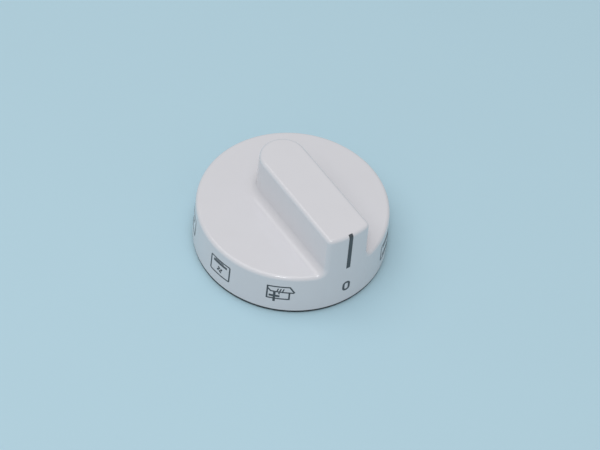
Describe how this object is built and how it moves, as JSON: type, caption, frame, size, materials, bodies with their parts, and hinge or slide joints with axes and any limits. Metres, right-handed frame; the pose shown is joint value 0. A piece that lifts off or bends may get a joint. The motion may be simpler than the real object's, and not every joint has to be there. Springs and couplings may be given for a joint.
{
  "type": "oven control knob",
  "caption": "Round appliance knob with a drafted skirt, a bar grip flush with the skirt at its pointer end, and a sprung D-shaped shaft socket.",
  "frame": {"origin": "on the shaft's axis, in the plane of the insert's flange, which the knob stands on", "axes": "+Z along the shaft's axis towards the grip, -Y towards the pointer end of the grip"},
  "size_m": [0.05, 0.05, 0.0256],
  "materials": {
    "cap": "white ABS moulded in a polished tool",
    "insert": "dark glass-filled polyamide with a fine spark-eroded grain",
    "spring": "cold-rolled stainless spring strip",
    "print": "dark grey pad-printed ink"
  },
  "bodies": {
    "root": {"cap": "cap", "insert": "insert", "spring": "spring"}
  },
  "joints": []
}
